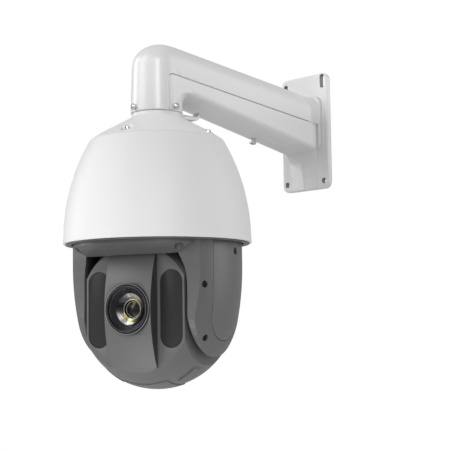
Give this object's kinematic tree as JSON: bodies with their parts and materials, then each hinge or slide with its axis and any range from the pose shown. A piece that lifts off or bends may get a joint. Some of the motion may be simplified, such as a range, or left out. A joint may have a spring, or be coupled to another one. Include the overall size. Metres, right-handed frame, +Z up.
{
  "type": "speed dome camera",
  "caption": "Outdoor pan, tilt and zoom dome camera with a dark lens ball in a turning yoke, hung from a white wall arm.",
  "frame": {"origin": "centre of the wall plate's four fixings, on the wall plane", "axes": "+Z up, +Y into the wall, the arm reaches to -Y, and the dome hangs at its end"},
  "size_m": [0.22, 0.383, 0.4089],
  "materials": {
    "bracket_paint": "white satin powder coat on cast aluminium",
    "cap_paint": "light grey-white satin powder coat on cast aluminium",
    "shell_paint": "white semi-gloss moulding",
    "bare_steel": "bright stainless screws and turned steel",
    "hook_grey": "zinc grey flat bar",
    "black_rubber": "black seal",
    "grey_rubber": "pale grey seal",
    "dark_paint": "dark grey fine-textured paint on cast aluminium",
    "dark_plastic": "dark grey fine-textured moulding",
    "black_screw": "black oxide screws",
    "inner_plate": "plain aluminium",
    "board_green": "circuit board",
    "motor_grey": "motor can",
    "gear_tan": "acetal gear",
    "slip_black": "slip ring housing",
    "lamp_window": "dark infrared-pass acrylic",
    "lamp_lens": "clear lamp lens",
    "lens_black": "black ribbed lens ring",
    "window_glass": "flat coated window",
    "barrel_silver": "turned silver barrel",
    "front_glass": "coated front element",
    "module_black": "black camera module moulding",
    "filter_glass": "infrared cut filter"
  },
  "bodies": {
    "bracket": {"wall_bracket": "bracket_paint", "arm_cover": "bracket_paint", "access_hatch": "bracket_paint", "cover_screw": "bare_steel", "neck_screws": "bare_steel", "lanyard_hook": "hook_grey", "neck_tube": "bare_steel", "dome_cap": "cap_paint", "cap_gasket": "grey_rubber", "cap_screws": "bare_steel", "dome_shell": "shell_paint", "shell_seal": "black_rubber", "rim_ring": "dark_paint", "base_plate": "inner_plate", "base_posts": "bare_steel", "main_board": "board_green", "slip_ring": "slip_black", "pan_motor": "motor_grey", "pan_bearing_outer": "bare_steel", "pan_bearing_balls": "bare_steel"},
    "pan_drive": {"pan_pinion": "gear_tan"},
    "yoke": {"yoke_frame": "dark_paint", "pan_hub": "bare_steel", "pan_gear": "gear_tan", "slip_ring_rotor": "slip_black", "front_chin": "dark_plastic", "rear_chin": "dark_plastic", "chin_screws": "black_screw", "side_cover_left": "dark_plastic", "side_cover_right": "dark_plastic", "side_cover_screws": "black_screw", "tilt_bearings": "bare_steel", "tilt_motor": "motor_grey", "drive_board": "board_green"},
    "tilt_drive": {"tilt_pinion": "gear_tan"},
    "ball": {"ball_body": "dark_paint", "front_bezel": "dark_paint", "bezel_seal": "black_rubber", "service_cover": "dark_plastic", "ball_ribs": "dark_plastic", "tilt_shafts": "bare_steel", "tilt_gear": "gear_tan", "lamp_window_left": "lamp_window", "lamp_window_right": "lamp_window", "lamp_boards": "board_green", "lamp_lenses": "lamp_lens", "heat_sink": "inner_plate", "lens_ring": "lens_black", "window_glass": "window_glass", "lens_barrel": "barrel_silver", "front_lens": "front_glass", "camera_chassis": "module_black", "guide_rods": "bare_steel", "sensor_board": "board_green"},
    "zoom": {"zoom_group": "module_black"},
    "focus": {"focus_group": "module_black"},
    "filter": {"cut_filter": "filter_glass"}
  },
  "joints": [
    {"name": "pan", "type": "hinge", "parent": "bracket", "child": "yoke", "pos_m": [0, -0.273, -0.1625], "axis": [0, 0, 1], "continuous": true},
    {"name": "pan_motor_turn", "type": "hinge", "parent": "bracket", "child": "pan_drive", "pos_m": [-0.06894, -0.28515, -0.1475], "axis": [0, 0, 1], "continuous": true},
    {"name": "tilt", "type": "hinge", "parent": "yoke", "child": "ball", "pos_m": [0, -0.273, -0.2395], "axis": [0.9455, 0.3256, 0], "range_deg": [-15, 90]},
    {"name": "tilt_motor_turn", "type": "hinge", "parent": "yoke", "child": "tilt_drive", "pos_m": [0.06902, -0.24923, -0.1975], "axis": [0.9455, 0.3256, 0], "range_deg": [-331, 56]},
    {"name": "zoom_travel", "type": "slide", "parent": "ball", "child": "zoom", "axis": [0.3256, -0.9455, 0], "range_m": [-0.008, 0.006]},
    {"name": "focus_travel", "type": "slide", "parent": "ball", "child": "focus", "axis": [0.3256, -0.9455, 0], "range_m": [-0.004, 0.005]},
    {"name": "filter_shift", "type": "slide", "parent": "ball", "child": "filter", "axis": [0.9455, 0.3256, 0], "range_m": [-0.008, 0]}
  ],
  "couplings": [
    {"joint": "pan_motor_turn", "follows": "pan", "ratio": -6},
    {"joint": "tilt_motor_turn", "follows": "tilt", "ratio": -3.6667}
  ]
}
